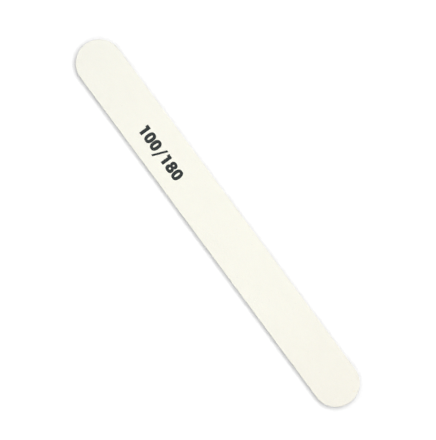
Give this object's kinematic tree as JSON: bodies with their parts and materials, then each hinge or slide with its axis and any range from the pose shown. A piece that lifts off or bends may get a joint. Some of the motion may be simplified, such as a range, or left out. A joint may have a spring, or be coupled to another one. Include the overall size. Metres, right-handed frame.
{
  "type": "emery board",
  "caption": "Cushioned salon nail file: a long, flat, narrow board with half-round ends, coarse grit on its front face, fine grit on its rear face and foam under both.",
  "frame": {"origin": "centre of the rear face, which is the underside as the picture shows the board", "axes": "+X along the board, from the end with the printed numbers to the plain end; +Y across it, towards the tops of the numbers; +Z out of the coarse front face"},
  "size_m": [0.178, 0.019, 0.004],
  "materials": {
    "core_plastic": "satin",
    "tape_film": "satin",
    "cushion_foam": "matte",
    "backing_paper": "matte",
    "coarse_grit": "matte",
    "fine_grit": "matte",
    "print_ink": "matte"
  },
  "bodies": {
    "root": {"core_board": "core_plastic", "front_core_tape": "tape_film", "rear_core_tape": "tape_film", "front_cushion": "cushion_foam", "rear_cushion": "cushion_foam", "front_sheet_tape": "tape_film", "rear_sheet_tape": "tape_film", "front_backing_paper": "backing_paper", "rear_backing_paper": "backing_paper", "coarse_grit_coat": "coarse_grit", "fine_grit_coat": "fine_grit"}
  },
  "joints": []
}
